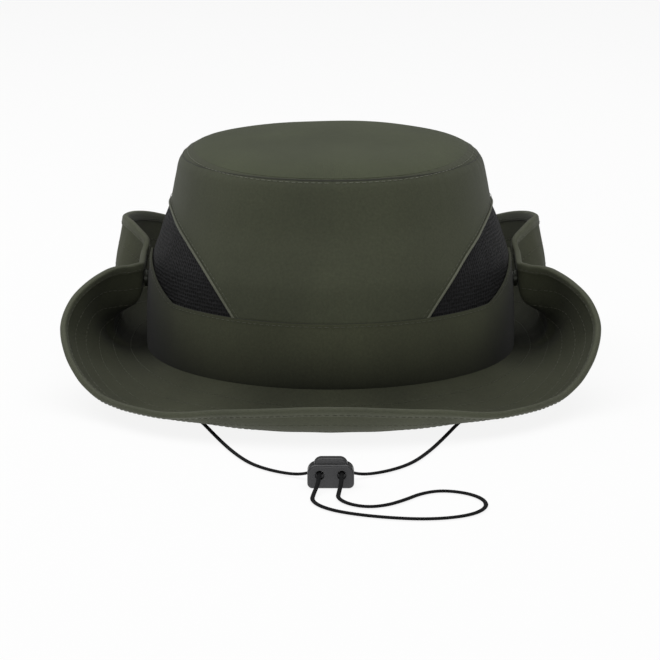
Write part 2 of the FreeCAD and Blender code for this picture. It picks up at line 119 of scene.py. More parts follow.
def smooth_curve(xs, ys, x, level_ends=False):
    """Cubic curve through points with slopes that don't overshoot, for an array of x."""
    xs, ys, x = np.asarray(xs, float), np.asarray(ys, float), np.asarray(x, float)
    steps = np.diff(ys) / np.diff(xs)
    slopes = np.zeros_like(ys)
    product = steps[:-1] * steps[1:]
    total = np.where(product > 0, steps[:-1] + steps[1:], 1.0)
    slopes[1:-1] = np.where(product > 0, 2 * product / total, 0.0)
    if not level_ends:
        slopes[0], slopes[-1] = steps[0], steps[-1]
    i = np.clip(np.searchsorted(xs, x, side="right") - 1, 0, len(xs) - 2)
    span = xs[i + 1] - xs[i]
    t = (x - xs[i]) / span
    return ((2 * t**3 - 3 * t**2 + 1) * ys[i] + (t**3 - 2 * t**2 + t) * span * slopes[i]
            + (-2 * t**3 + 3 * t**2) * ys[i + 1] + (t**3 - t**2) * span * slopes[i + 1])


def unit(vectors):
    return vectors / np.maximum(np.linalg.norm(vectors, axis=-1, keepdims=True), 1e-12)


def lumps(points, wavelength, seed=0.0):
    """Smooth noise at each point, from about -1 to 1. Points are in millimetres."""
    flat = points.reshape(-1, 3) / wavelength + seed
    return np.array([noise.noise(Vector(p)) for p in flat]).reshape(points.shape[:-1])


def add_mesh(name, points, faces, uvs=None, material=None):
    """A smooth-shaded mesh from points in millimetres."""
    mesh = bpy.data.meshes.new(name)
    mesh.from_pydata((np.asarray(points) * MM).tolist(), [], [tuple(f) for f in faces])
    mesh.validate()
    if uvs is not None:
        layer = mesh.uv_layers.new(name="cloth")
        loop_points = np.zeros(len(mesh.loops), np.int64)
        mesh.loops.foreach_get("vertex_index", loop_points)
        layer.data.foreach_set("uv", (np.asarray(uvs)[loop_points] * MM).astype(np.float32).ravel())
    mesh.polygons.foreach_set("use_smooth", [True] * len(mesh.polygons))
    piece = bpy.data.objects.new(name, mesh)
    bpy.context.scene.collection.objects.link(piece)
    if material:
        mesh.materials.append(material)
    return piece


def grid_faces(rows, columns, start=0, flip=False, wrap=False):
    """Quads of a grid of points that is stored row by row."""
    faces = []
    for r in range(rows - 1):
        for c in range(columns if wrap else columns - 1):
            n = (c + 1) % columns
            quad = (start + r * columns + c, start + r * columns + n,
                    start + (r + 1) * columns + n, start + (r + 1) * columns + c)
            faces.append(quad[::-1] if flip else quad)
    return faces


def grid_lengths(grid):
    """Running lengths along rows and columns of a grid, as cloth coordinates."""
    across = np.linalg.norm(np.diff(grid, axis=0), axis=-1)
    along = np.linalg.norm(np.diff(grid, axis=1), axis=-1)
    v = np.concatenate([np.zeros((1, grid.shape[1])), np.cumsum(across, axis=0)])
    u = np.concatenate([[0.0], np.cumsum(along.mean(axis=0))])
    return np.stack([np.broadcast_to(u, v.shape), v], axis=-1)


def thick_sheet(name, front, back, material, wrap=False):
    """A closed sheet of cloth between two grids of points."""
    rows, columns = front.shape[:2]
    count = rows * columns
    points = np.concatenate([front.reshape(-1, 3), back.reshape(-1, 3)])
    faces = grid_faces(rows, columns, wrap=wrap) + grid_faces(rows, columns, count, True, wrap)
    for r in (0, rows - 1):
        for c in range(columns if wrap else columns - 1):
            a, b = r * columns + c, r * columns + (c + 1) % columns
            quad = (a, b, b + count, a + count)
            faces.append(quad[::-1] if r == 0 else quad)
    if not wrap:
        for c in (0, columns - 1):
            for r in range(rows - 1):
                a, b = r * columns + c, (r + 1) * columns + c
                quad = (a, b, b + count, a + count)
                faces.append(quad if c == 0 else quad[::-1])
    uv = grid_lengths(front).reshape(-1, 2)
    piece = add_mesh(name, points, faces, np.concatenate([uv, uv]), material)
    fix_normals(piece)
    return piece


def fix_normals(piece):
    """Turns the faces outwards and marks sharp borders."""
    shape = bmesh.new()
    shape.from_mesh(piece.data)
    bmesh.ops.recalc_face_normals(shape, faces=shape.faces)
    for edge in shape.edges:
        if len(edge.link_faces) == 2 and edge.calc_face_angle(0.0) > SHARP_ANGLE:
            edge.smooth = False
    shape.to_mesh(piece.data)
    shape.free()


def path_frames(points):
    """Arc lengths and tangents of a line of points."""
    lengths = np.concatenate([[0.0], np.cumsum(np.linalg.norm(np.diff(points, axis=0), axis=1))])
    return lengths, unit(np.gradient(points, axis=0))


def stitch_row(points, normals, stitch=2.3, gap=0.75, thick=0.42):
    """Points and faces of a row of thread stitches laid along a line on cloth."""
    lengths, tangents = path_frames(points)
    starts = np.arange(gap, lengths[-1] - stitch, stitch + gap)
    ring = [(-0.5, 0.0), (0.0, 0.75), (0.5, 0.0), (0.0, -0.3)]
    all_points, faces = [], []
    for start in starts:
        base = len(all_points)
        for share, swell in ((0.0, 0.35), (0.22, 1.0), (0.78, 1.0), (1.0, 0.35)):
            at = start + share * stitch
            centre = np.array([np.interp(at, lengths, points[:, k]) for k in range(3)])
            up = unit(np.array([np.interp(at, lengths, normals[:, k]) for k in range(3)]))
            along = np.array([np.interp(at, lengths, tangents[:, k]) for k in range(3)])
            side = unit(np.cross(along, up))
            for across, high in ring:
                all_points.append(centre + thick * swell * (side * across + up * high))
        faces += grid_faces(4, 4, base, wrap=True)
        faces.append((base + 3, base + 2, base + 1, base))
        faces.append((base + 12, base + 13, base + 14, base + 15))
    return all_points, faces


def stitches(name, rows, material, thick=0.3):
    """One mesh of several rows of stitches, each row being (points, normals)."""
    points, faces = [], []
    for line, normals in rows:
        more, quads = stitch_row(line, normals, thick=thick)
        faces += [tuple(i + len(points) for i in quad) for quad in quads]
        points += more
    return add_mesh(name, points, faces, None, material)


# ------------------------------------------------------------------ materials

def shader(name, **inputs):
    """A new material and its principled shader."""
    material = bpy.data.materials.new(name)
    material.use_nodes = True
    principled = material.node_tree.nodes["Principled BSDF"]
    for socket, value in inputs.items():
        principled.inputs[socket.replace("_", " ")].default_value = value
    return material, material.node_tree, principled


def node(tree, kind, **values):
    made = tree.nodes.new(kind)
    for key, value in values.items():
        if key in made.inputs.keys():
            made.inputs[key].default_value = value
        else:
            setattr(made, key, value)
    return made


def colour_ramp(tree, factor, low, high, at=(0.3, 0.7)):
    ramp = tree.nodes.new("ShaderNodeValToRGB")
    ramp.color_ramp.elements[0].position, ramp.color_ramp.elements[1].position = at
    ramp.color_ramp.elements[0].color = (*low, 1.0)
    ramp.color_ramp.elements[1].color = (*high, 1.0)
    tree.links.new(factor, ramp.inputs["Fac"])
    return ramp.outputs["Color"]


def mix_colour(tree, factor, a, b, blend="MIX"):
    mix = tree.nodes.new("ShaderNodeMix")
    mix.data_type = "RGBA"
    mix.blend_type = blend
    if isinstance(factor, float):
        mix.inputs["Factor"].default_value = factor
    else:
        tree.links.new(factor, mix.inputs["Factor"])
    tree.links.new(a, mix.inputs[6])
    tree.links.new(b, mix.inputs[7])
    return mix.outputs[2]


def maths(tree, operation, a, b=None):
    made = tree.nodes.new("ShaderNodeMath")
    made.operation = operation
    for socket, value in zip(made.inputs, (a, b)):
        if value is None:
            continue
        if isinstance(value, float):
            socket.default_value = value
        else:
            tree.links.new(value, socket)
    return made.outputs[0]


def weave_height(tree, uv, thread):
    """Over-and-under threads of a plain weave, about 0 to 1."""
    waves = []
    for direction in ("X", "Y"):
        wave = node(tree, "ShaderNodeTexWave", bands_direction=direction, wave_profile="SIN")
        wave.inputs["Scale"].default_value = math.pi / 10 / (thread * MM)
        wave.inputs["Distortion"].default_value = 0.6
        wave.inputs["Detail"].default_value = 1.0
        tree.links.new(uv, wave.inputs["Vector"])
        waves.append(wave.outputs["Fac"])
    return maths(tree, "MULTIPLY", waves[0], waves[1])


def crease_shade(tree, floor, own_folds_only, span):
    """Painted shade: white in the open, down to a grey where the cloth is folded in or close to its
    neighbours.
    """
    hollow = node(tree, "ShaderNodeAmbientOcclusion", Distance=0.05)
    hollow.samples = 6
    hollow.only_local = own_folds_only
    return colour_ramp(tree, hollow.outputs["AO"], (floor,) * 3, (1.0,) * 3, span)


def cloth(name, colour, thread=0.55, variation=0.16, roughness=0.82, relief=0.00006, sheen=0.06,
          fold_shade_floor=0.35, own_folds_only=True, fold_shade_span=(0.15, 0.65)):
    """Woven polyester: threads, slubs, slow changes of tone, and painted shade in its folds and beside its
    neighbours.
    """
    material, tree, principled = shader(name, Roughness=roughness, Sheen_Weight=sheen,
                                        Sheen_Roughness=0.5, Specular_IOR_Level=0.28)
    coords = tree.nodes.new("ShaderNodeTexCoord")
    uv, place = coords.outputs["UV"], coords.outputs["Object"]
    weave = weave_height(tree, uv, thread)
    broad = node(tree, "ShaderNodeTexNoise", Scale=17.0, Detail=3.0, Roughness=0.5)
    fine = node(tree, "ShaderNodeTexNoise", Scale=900.0, Detail=2.0, Roughness=0.6)
    falls = node(tree, "ShaderNodeMapping")
    falls.inputs["Scale"].default_value = (1.0, 1.0, 0.35)
    tree.links.new(place, falls.inputs["Vector"])
    tree.links.new(falls.outputs["Vector"], broad.inputs["Vector"])
    tree.links.new(place, fine.inputs["Vector"])
    dark = tuple(c * (1 - variation) for c in colour)
    light = tuple(c * (1 + variation) for c in colour)
    tone = colour_ramp(tree, broad.outputs["Fac"], dark, light)
    fibre = colour_ramp(tree, fine.outputs["Fac"], (0.87,) * 3, (1.12,) * 3, (0.25, 0.75))
    thread_tone = colour_ramp(tree, weave, (0.86,) * 3, (1.10,) * 3, (0.0, 0.8))
    tone = mix_colour(tree, 1.0, tone, fibre, "MULTIPLY")
    tone = mix_colour(tree, 1.0, tone, thread_tone, "MULTIPLY")
    # Painted shade: the colour is darkened where the cloth is folded in or close to other pieces.
    tone = mix_colour(tree, 1.0, tone, crease_shade(tree, fold_shade_floor, own_folds_only, fold_shade_span), "MULTIPLY")
    tree.links.new(tone, principled.inputs["Base Color"])
    bump = node(tree, "ShaderNodeBump", Strength=0.6, Distance=relief)
    height = maths(tree, "ADD", weave, maths(tree, "MULTIPLY", fine.outputs["Fac"], 0.5))
    tree.links.new(height, bump.inputs["Height"])
    tree.links.new(bump.outputs["Normal"], principled.inputs["Normal"])
    return material


def mesh_cloth(name):
    """Black knitted mesh: rounded holes in offset rows."""
    material, tree, principled = shader(name, Roughness=0.7, Specular_IOR_Level=0.22)
    coords = tree.nodes.new("ShaderNodeTexCoord")
    cells = node(tree, "ShaderNodeTexVoronoi", Scale=560.0, Randomness=0.35)
    cells.feature = "F1"
    tree.links.new(coords.outputs["UV"], cells.inputs["Vector"])
    cells.voronoi_dimensions = "2D"
    tone = colour_ramp(tree, cells.outputs["Distance"], (0.0014, 0.0014, 0.0016), (0.011, 0.011, 0.0122),
                       (0.18, 0.5))
    broad = node(tree, "ShaderNodeTexNoise", Scale=35.0, Detail=2.0)
    tree.links.new(coords.outputs["Object"], broad.inputs["Vector"])
    shade = colour_ramp(tree, broad.outputs["Fac"], (0.75,) * 3, (1.25,) * 3)
    tree.links.new(mix_colour(tree, 1.0, tone, shade, "MULTIPLY"), principled.inputs["Base Color"])
    ripple = node(tree, "ShaderNodeTexNoise", Scale=260.0, Detail=2.0, Roughness=0.5)
    tree.links.new(coords.outputs["UV"], ripple.inputs["Vector"])
    bump = node(tree, "ShaderNodeBump", Strength=0.9, Distance=0.0010)
    relief = maths(tree, "ADD", cells.outputs["Distance"], ripple.outputs["Fac"])
    tree.links.new(relief, bump.inputs["Height"])
    tree.links.new(bump.outputs["Normal"], principled.inputs["Normal"])
    return material


def thread_material(name, colour, roughness=0.55, sheen=0.12):
    """Twisted thread or braided cord."""
    material, tree, principled = shader(name, Roughness=roughness, Sheen_Weight=sheen,
                                        Specular_IOR_Level=0.2)
    coords = tree.nodes.new("ShaderNodeTexCoord")
    fine = node(tree, "ShaderNodeTexNoise", Scale=2200.0, Detail=2.0)
    tree.links.new(coords.outputs["Object"], fine.inputs["Vector"])
    tone = colour_ramp(tree, fine.outputs["Fac"], tuple(c * 0.7 for c in colour),
                       tuple(c * 1.35 for c in colour))
    tree.links.new(tone, principled.inputs["Base Color"])
    bump = node(tree, "ShaderNodeBump", Strength=0.5, Distance=0.00008)
    tree.links.new(fine.outputs["Fac"], bump.inputs["Height"])
    tree.links.new(bump.outputs["Normal"], principled.inputs["Normal"])
    return material


def hard_material(name, colour, roughness, metallic=0.0, grain=1600.0, relief=0.00003):
    """Moulded plastic or painted metal with a fine surface grain."""
    material, tree, principled = shader(name, Roughness=roughness, Metallic=metallic,
                                        Specular_IOR_Level=0.5)
    coords = tree.nodes.new("ShaderNodeTexCoord")
    fine = node(tree, "ShaderNodeTexNoise", Scale=grain, Detail=3.0)
    tree.links.new(coords.outputs["Object"], fine.inputs["Vector"])
    tone = colour_ramp(tree, fine.outputs["Fac"], tuple(c * 0.85 for c in colour),
                       tuple(c * 1.15 for c in colour))
    rough = colour_ramp(tree, fine.outputs["Fac"], (roughness * 0.85,) * 3, (roughness * 1.15,) * 3)
    tree.links.new(tone, principled.inputs["Base Color"])
    tree.links.new(rough, principled.inputs["Roughness"])
    bump = node(tree, "ShaderNodeBump", Strength=0.4, Distance=relief)
    tree.links.new(fine.outputs["Fac"], bump.inputs["Height"])
    tree.links.new(bump.outputs["Normal"], principled.inputs["Normal"])
    return material


GREEN = (0.050, 0.055, 0.032)
LOOK = {
    "crown": cloth("crown_cloth", GREEN),
    "tip": cloth("tip_cloth", (0.052, 0.060, 0.031)),
    # The band's painted shade also darkens it beside the brim and the crown.
    "band": cloth("band_cloth", (0.049, 0.053, 0.029), fold_shade_floor=0.12, own_folds_only=False,
                  fold_shade_span=(0.35, 0.88)),
    # The brim's painted shade darkens the inside of its rolls nearly to black.
    "brim": cloth("brim_cloth", (0.052, 0.056, 0.032), sheen=0.03, fold_shade_floor=0.02,
                  fold_shade_span=(0.42, 0.95)),
    # The binding is painted lighter than the brim, as a highlight along the edge fold.
    "binding": cloth("binding_cloth", (0.066, 0.071, 0.044), thread=0.4, roughness=0.7, fold_shade_floor=0.10),
    "piping": cloth("piping_cloth", (0.115, 0.121, 0.085), thread=0.4, roughness=0.6),
    "lining": cloth("lining_cloth", (0.036, 0.038, 0.028)),
    "label": cloth("label_cloth", (0.10, 0.10, 0.09), thread=0.3, roughness=0.5),
    "mesh": mesh_cloth("vent_mesh"),
    "thread": thread_material("thread_green", (0.076, 0.079, 0.056)),
    "light_thread": thread_material("thread_light", (0.15, 0.157, 0.12)),
    "cord": thread_material("cord_black", (0.0030, 0.0030, 0.0034), 0.85, 0.0),
    "plastic": hard_material("lock_plastic", (0.030, 0.030, 0.032), 0.38),
    "snap": hard_material("snap_paint", (0.030, 0.033, 0.024), 0.42, 0.5),
    "steel": hard_material("spring_steel", (0.55, 0.55, 0.56), 0.3, 1.0),
}


# ------------------------------------------------------------------ camera, light and floor

def add_camera():
    """A long lens a little above the brim, aimed at the hat's lower crown."""
    elevation, distance = math.radians(12.0), 1.5
    target = Vector((-0.0003, 0.0, 0.020))
    data = bpy.data.cameras.new("camera")
    data.sensor_width = 36.0
    data.lens = 167.7
    data.clip_end = 20.0
    camera = bpy.data.objects.new("camera", data)
    bpy.context.scene.collection.objects.link(camera)
    camera.location = target + Vector((0, -distance * math.cos(elevation), distance * math.sin(elevation)))
    camera.rotation_euler = (math.pi / 2 - elevation, 0, 0)
    bpy.context.scene.camera = camera


def add_area(name, place, aim, width, power):
    data = bpy.data.lights.new(name, "AREA")
    data.shape = "RECTANGLE"
    data.size, data.size_y = width
    data.energy = power
    lamp = bpy.data.objects.new(name, data)
    bpy.context.scene.collection.objects.link(lamp)
    lamp.location = place
    lamp.rotation_euler = (Vector(aim) - Vector(place)).to_track_quat("-Z", "Y").to_euler()


def floor_paper():
    """White paper that shows only a light shadow."""
    material, tree, principled = shader("floor_paper", Roughness=0.9, Specular_IOR_Level=0.1)
    principled.inputs["Base Color"].default_value = (0.93, 0.93, 0.93, 1.0)
    glow = tree.nodes.new("ShaderNodeEmission")
    mix = tree.nodes.new("ShaderNodeMixShader")
    mix.inputs[0].default_value = 0.88
    tree.links.new(principled.outputs[0], mix.inputs[1])
    tree.links.new(glow.outputs[0], mix.inputs[2])
    tree.links.new(mix.outputs[0], tree.nodes["Material Output"].inputs["Surface"])
    return material


def add_studio():
    world = bpy.data.worlds.new("studio")
    world.use_nodes = True
    world.node_tree.nodes["Background"].inputs["Color"].default_value = (1.0, 1.0, 1.0, 1.0)
    world.node_tree.nodes["Background"].inputs["Strength"].default_value = 0.25
    bpy.context.scene.world = world
    bpy.context.scene.view_settings.view_transform = "Standard"
    add_area("top_light", (-0.2, 0.0, 1.6), (0, 0, 0.0), (2.6, 2.6), 34.0)
    add_area("front_light", (-0.15, -2.2, 0.18), (0, 0, 0.03), (1.6, 0.34), 6.0)
    bpy.ops.mesh.primitive_plane_add(size=12.0, location=(0, 0, 0))
    floor = bpy.context.object
    floor.name = "floor"
    floor.data.materials.append(floor_paper())


# ------------------------------------------------------------------ chin cord

def add_cord():
    """A flat braided cord that follows one smooth line from anchor to anchor through the lock."""
    mirrored = [(-x, y, z) for x, y, z in reversed(STRAND)]
    route = STRAND + LOOP + mirrored
    curve = bpy.data.curves.new("cord_line", "CURVE")
    curve.dimensions = "3D"
    curve.resolution_u = 24
    spline = curve.splines.new("NURBS")
    spline.points.add(len(route) - 1)
    for point, (x, y, z) in zip(spline.points, route):
        point.co = (x * MM, y * MM, z * MM, 1.0)
    spline.order_u = 3
    spline.use_endpoint_u = True
    holder = bpy.data.objects.new("cord_line", curve)
    bpy.context.scene.collection.objects.link(holder)
    line = bpy.data.meshes.new_from_object(holder)
    line_points = np.array([v.co for v in line.vertices]) / MM
    bpy.data.objects.remove(holder)
    lengths, tangents = path_frames(line_points)
    at = np.arange(0.0, lengths[-1], 0.45)
    centre = np.stack([np.interp(at, lengths, line_points[:, k]) for k in range(3)], axis=1)
    tangent = unit(np.stack([np.interp(at, lengths, tangents[:, k]) for k in range(3)], axis=1))
    side = np.cross(tangent, (0.0, 0.0, 1.0))
    steep = np.linalg.norm(side, axis=1, keepdims=True) < 0.3
    side = unit(np.where(steep, np.cross(tangent, (0.0, 1.0, 0.0)), side))
    for k in range(1, len(side)):
        if np.dot(side[k], side[k - 1]) < 0:
            side[k] = -side[k]
    up = np.cross(side, tangent)
    around = np.linspace(0, 2 * math.pi, 14, endpoint=False)
    plait = 1 + 0.07 * np.cos(3 * around[None, :] + at[:, None] * 2.6) * np.cos(
        3 * around[None, :] - at[:, None] * 2.6)
    wide, high = CORD_WIDTH / 2 * 1.02, CORD_WIDTH / 2 * 0.72
    rings = (centre[:, None, :] + side[:, None, :] * (np.cos(around)[None, :] * plait * wide)[..., None]
             + up[:, None, :] * (np.sin(around)[None, :] * plait * high)[..., None])
    count = len(around)
    faces = grid_faces(len(at), count, wrap=True)
    faces.append(tuple(range(count)))
    faces.append(tuple((len(at) - 1) * count + k for k in reversed(range(count))))
    cord = add_mesh("chin_cord_braid", rings.reshape(-1, 3), faces, None, LOOK["cord"])
    fix_normals(cord)
    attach(cord, "hat")
    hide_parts("chin_cord")


# ------------------------------------------------------------------ crown

def wall_half_width(height):
    rows = CROWN_WALL[:-1] + SHOULDER
    return smooth_curve([row[0] for row in rows], [row[1] for row in rows], height)


def seam_height(turn):
    """The tip's seam is a little higher at the sides."""
    return SEAM_HEIGHT + SEAM_LIFT * np.sin(turn)**4


def wall_normals(turn, lift=0.0):
    """Directions out of the crown's wall, tipped up a little by lift."""
    ways = [-np.sin(turn) * DEPTH_RATIO, -np.cos(turn), np.full_like(turn, lift)]
    return unit(np.stack(ways, axis=-1))


def crown_points(turn, height, offset=0.0):
    """Points on the crown. Turn is in radians from the front centre, positive towards -X."""
    half_width = wall_half_width(height)
    normal = wall_normals(turn)
    points = np.stack([-half_width * np.sin(turn), -half_width * DEPTH_RATIO * np.cos(turn),
                       np.broadcast_to(height, half_width.shape)], axis=-1)
    return points + normal * np.asarray(offset)[..., None]


def puckers(turn, height, seam, reach=5.0, depth=0.14):
    """Small uneven gathers of the cloth that fade away from a seam."""
    fade = np.exp(-np.abs(height - seam) / reach)
    strength = 0.45 + 0.55 * np.sin(turn * 5.0 + 1.3) * np.sin(turn * 3.0)
    wave = np.sin(turn * 47.0 + 3.0 * np.sin(turn * 9.0)) + 0.6 * np.sin(turn * 83.0 + np.sin(turn * 7.0))
    return depth * fade * strength * wave


def sag(points, amount=0.8):
    """Slow unevenness of the crown's cloth."""
    return amount * lumps(points, 48.0, 3.1) + 0.35 * amount * lumps(points, 19.0, 7.7)


def vent_edge_height(turn):
    """Height of the vent's sloping edge on the crown, at a turn from the front centre."""
    low = np.full_like(turn, BAND_TOP - 20.0)
    high = np.full_like(turn, SEAM_HEIGHT)
    for _ in range(40):
        middle = (low + high) / 2
        share = np.clip((middle - BAND_TOP) / VENT_RISE, 0, 1)
        line = VENT_FOOT + VENT_SLOPE * (middle - BAND_TOP) - VENT_BOW * np.sin(math.pi * share)
        inside = wall_half_width(middle) * np.abs(np.sin(turn)) > line
        low, high = np.where(inside, middle, low), np.where(inside, high, middle)
    return np.maximum(low, BAND_TOP - BAND_UNDER)


def wall_surface(turn, height, offset):
    """Crown cloth with its sag and the puckers beside its seams."""
    plain = crown_points(turn, height, offset)
    top = seam_height(turn)
    fade = np.clip((top - height) / 12.0, 0, 1) * np.clip((height - BAND_TOP + 4) / 16.0, 0, 1)
    groove = -0.6 * (1 - 0.7 * np.sin(turn) ** 4) * np.exp(-((top - height) / 0.9) ** 2)
    move = sag(plain) * fade + puckers(turn, height, top - 2.0) + groove
    return crown_points(turn, height, offset + move)


def add_panel(name, centre, node_name):
    """The front or back panel of the crown, from its vents' edges up to the tip."""
    turn = centre + np.radians(np.linspace(-90, 90, 361))
    foot = vent_edge_height(turn)
    share = np.linspace(0, 1, 90)[:, None]
    height = foot[None, :] + (seam_height(turn) - foot)[None, :] * share
    turns = np.broadcast_to(turn, height.shape)
    outer = wall_surface(turns, height, 0.0)
    inner = wall_surface(turns, height, -CLOTH)
    panel = thick_sheet(name, outer, inner, LOOK["crown"])
    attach(panel, "hat")
    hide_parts(node_name)


def add_wall_foot():
    """The crown's cloth behind the band, down to the seam with the brim."""
    turn = np.radians(np.linspace(0, 360, ROUND_STEPS, endpoint=False))
    height = BASE_HEIGHT - CLOTH + (BAND_TOP - 2.5 - BASE_HEIGHT) * np.linspace(0, 1, 12)
    heights, turns = np.meshgrid(height, turn, indexing="ij")
    outer = crown_points(turns, heights, 0.0)
    inner = crown_points(turns, heights, -CLOTH)
    foot = thick_sheet("crown_foot", outer, inner, LOOK["crown"], wrap=True)
    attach(foot, "hat")


def add_vent(side):
    """A black mesh vent that wraps round the crown's side."""
    name = "left" if side > 0 else "right"
    turn = side * np.radians(np.linspace(24, 156, 265))
    top = vent_edge_height(turn)
    keep = top > BAND_TOP - BAND_UNDER + 0.1
    turn, top = turn[keep], top[keep]
    share = np.linspace(0, 1, 60)[:, None]
    low = BAND_TOP - BAND_UNDER
    height = low + (top[None, :] - low) * share
    turns = np.broadcast_to(turn, height.shape)
    plain = crown_points(turns, height, -MESH_SUNK)
    move = 0.35 * lumps(plain, 11.0, 1.9) + 0.5 * lumps(plain, 30.0, 5.2)
    edge = np.clip(share * (1 - share) * 12, 0, 1)
    outer = crown_points(turns, height, -MESH_SUNK + move * edge)
    inner = crown_points(turns, height, -MESH_SUNK - MESH_THICK + move * edge)
    vent = thick_sheet("mesh_" + name, outer, inner, LOOK["mesh"])
    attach(vent, "hat")
    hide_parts("mesh_vent_" + name)


def vent_line(side, inset, offset):
    """A line along the vent's edge, moved onto the panel, and its normals."""
    turn = side * np.radians(np.linspace(26.0, 154.0, 700))
    edge = vent_edge_height(turn)
    keep = edge > BAND_TOP - 2.0
    turn, edge = turn[keep], edge[keep]
    points = wall_surface(turn, edge, np.zeros_like(turn))
    normals = wall_normals(turn, 0.15)
    tangents = unit(np.gradient(points, axis=0))
    across = unit(np.cross(normals, tangents)) * side
    across = np.where(across[:, 2:3] < 0, -across, across)
    return points + across * inset + normals * offset, normals, across


def tube_along(name, points, normals, across, half_wide, high, material, steps=8):
    """A low rounded strip laid along a line."""
    angles = np.linspace(0, 2 * math.pi, steps, endpoint=False)
    rings = (points[:, None, :] + across[:, None, :] * (np.cos(angles) * half_wide)[None, :, None]
             + normals[:, None, :] * (np.sin(angles) * high)[None, :, None])
    faces = grid_faces(len(points), steps, wrap=True)
    faces.append(tuple(range(steps)))
    faces.append(tuple((len(points) - 1) * steps + k for k in reversed(range(steps))))
    lengths, _ = path_frames(points)
    uv = np.stack(np.broadcast_arrays(angles[None, :] * half_wide, lengths[:, None]), axis=-1)
    piece = add_mesh(name, rings.reshape(-1, 3), faces, uv.reshape(-1, 2), material)
    fix_normals(piece)
    return piece


def add_piping(side):
    name = "left" if side > 0 else "right"
    points, normals, across = vent_line(side, 0.5, 0.25)
    piping = tube_along("piping_" + name, points, normals, across, 0.62, 0.5, LOOK["piping"])
    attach(piping, "hat")
    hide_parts("vent_piping_" + name)
    points, normals, across = vent_line(side, 2.6, 0.1)
    sewn = stitches("piping_stitches_" + name, [(points, normals)], LOOK["thread"])
    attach(sewn, "hat")


def add_tip():
    """The crown's flat top: a shallow, slightly uneven dome with a turned edge."""
    turn = np.radians(np.linspace(0, 360, ROUND_STEPS, endpoint=False))
    share = np.concatenate([np.linspace(1.0, 0.86, 40), np.linspace(0.85, 0.004, 56)])[:, None]
    edge = seam_height(turn)
    rim = (wall_half_width(edge) - 0.3)[None, :]
    rise = (edge[None, :] + TIP_ROLL * (1 - share**9)
            + (SEAM_HEIGHT + TIP_RISE - TIP_ROLL - edge)[None, :] * (1 - share**2.1))

    def surface(offset):
        x = -np.sin(turn)[None, :] * rim * share
        y = -np.cos(turn)[None, :] * rim * DEPTH_RATIO * share
        z = np.broadcast_to(rise + offset, x.shape)
        flat = np.stack([x, y, z], axis=-1)
        fade = np.clip((1 - share) * 7, 0, 1)
        move = 0.9 * lumps(flat, 42.0, 11.3) * fade
        pucker = puckers(turn[None, :], rim * share, rim, 4.0, 0.12) * np.clip((1 - share) * 30, 0, 1)
        flat[..., 2] += move + pucker
        return flat

    tip = thick_sheet("tip", surface(0.0), surface(-CLOTH), LOOK["tip"], wrap=True)
    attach(tip, "hat")
    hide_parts("crown_tip")


def seam_line(below, offset, count=1400):
    """A line round the crown a little below the tip's seam, with its normals."""
    turn = np.radians(np.linspace(0, 360, count))
    points = wall_surface(turn, seam_height(turn) - below, np.full_like(turn, offset))
    normals = wall_normals(turn, 0.1)
    return points, normals


def band_top_height(turn):
    """The band's upper edge, which rises to a tab at each side."""
    along = np.abs(BASE_HALF_DEPTH * np.cos(turn))
    return BAND_TOP + 0.4 + np.maximum(0.0, 16.6 - 0.3 * along)


def band_surface(turn, share, offset):
    foot = BASE_HEIGHT + 0.2
    height = foot + (band_top_height(turn) - foot) * share
    plain = crown_points(turn, height, offset)
    belly = 0.9 * np.sin(math.pi * share) ** 0.7
    move = belly + 0.5 * lumps(plain, 37.0, 2.4) * np.clip(share * 4, 0, 1)
    return crown_points(turn, height, offset + move)


def add_band():
    """The wide band round the crown, with rolled upper and lower edges."""
    turn = np.radians(np.linspace(0, 360, 720, endpoint=False))
    share = np.linspace(0, 1, 40)[:, None]
    turns = np.broadcast_to(turn, (len(share), len(turn)))
    shares = np.broadcast_to(share, turns.shape)
    lip = 0.35 * np.exp(-((1 - shares) * 30 / 1.3) ** 2)
    outer = band_surface(turns, shares, 0.75 + lip)
    inner = band_surface(turns, shares, 0.1)
    band = thick_sheet("band", outer, inner, LOOK["band"], wrap=True)
    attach(band, "hat")
    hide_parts("crown_band")
    turn = np.radians(np.linspace(0, 360, 1600))
    points = band_surface(turn, np.full_like(turn, 0.955), 0.8)
    sewn = stitches("band_stitches", [(points, wall_normals(turn))], LOOK["thread"])
    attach(sewn, "hat")


def add_crown_stitches():
    sewn = stitches("tip_seam_stitches", [seam_line(1.7, 0.1)], LOOK["light_thread"], 0.26)
    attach(sewn, "hat")


# ------------------------------------------------------------------ brim

STEPS = 128


def brim_middle(azimuths):
    """Middle surface of the brim's left half: points[azimuth, step] from the seam to past the edge."""
    angles = [row[0] for row in BRIM_SHAPE]
    knots = len(BRIM_SHAPE[0][2])
    table = np.stack([smooth_curve(angles, [row[2][k] for row in BRIM_SHAPE], azimuths, True)
                      for k in range(knots)], axis=1)
    widths = smooth_curve(angles, [row[1] for row in BRIM_SHAPE], azimuths, True)
    shares = np.minimum((np.arange(STEPS + 3) + 0.5) / STEPS, 1.0)
    turn = np.radians(azimuths)
    start = np.stack([-BASE_HALF_WIDTH * np.sin(turn), -BASE_HALF_DEPTH * np.cos(turn),
                      np.full_like(turn, BASE_HEIGHT)], axis=-1)
    out = unit(start * np.array([1 / BASE_HALF_WIDTH**2, 1 / BASE_HALF_DEPTH**2, 0.0]))
    rows = []
    for values, first, way, step in zip(table, start, out, widths / STEPS):
        slope = np.radians(smooth_curve(np.linspace(0, 1, knots), values, shares))
        moves = way[None, :] * np.cos(slope)[:, None] + np.array([0, 0, 1.0]) * np.sin(slope)[:, None]
        rows.append(np.concatenate([first[None, :], first + np.cumsum(moves * step, axis=0)]))
    return np.array(rows)


